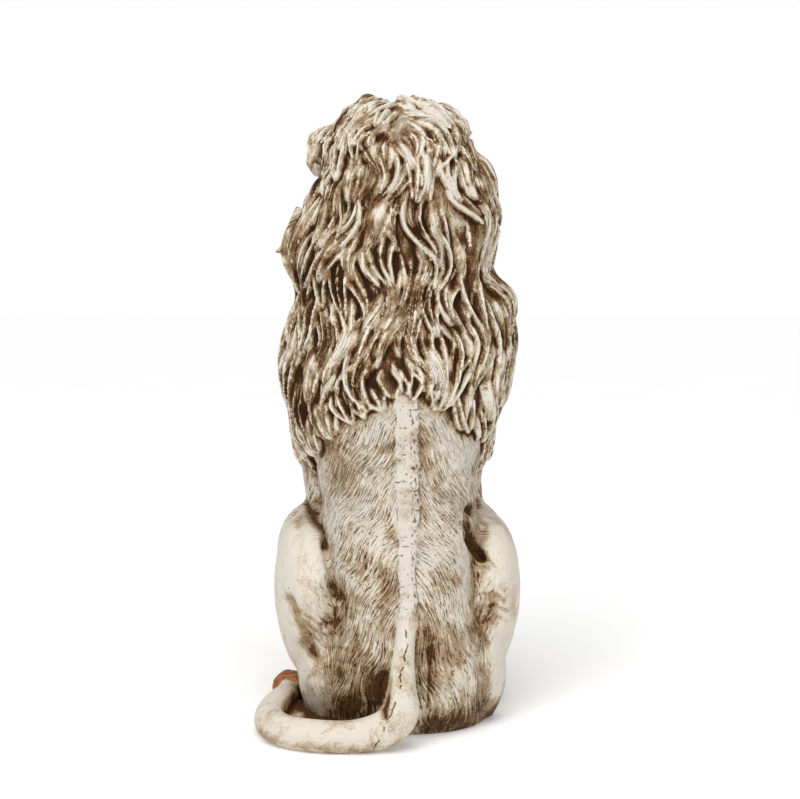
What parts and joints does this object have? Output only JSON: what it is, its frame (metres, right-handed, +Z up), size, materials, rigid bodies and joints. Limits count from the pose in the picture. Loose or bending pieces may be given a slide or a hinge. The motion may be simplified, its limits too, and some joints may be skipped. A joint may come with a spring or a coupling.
{
  "type": "lion statue",
  "caption": "Cast statue of a lion sitting upright, with a carved mane of wavy locks and its tail curled round on the ground; it stands on its flat underside",
  "frame": {"origin": "on the ground, under the middle of the figure's bounding box", "axes": "+Z up, along the figure's height; the lion looks along -Y; +X is the lion's left-hand side, to which its tail curls"},
  "size_m": [0.2674, 0.3524, 0.6113],
  "materials": {
    "antique_ivory": "cast resin, painted ivory, with a brown wash rubbed into the hollows of the carving"
  },
  "bodies": {
    "root": {"lion": "antique_ivory"}
  },
  "joints": []
}
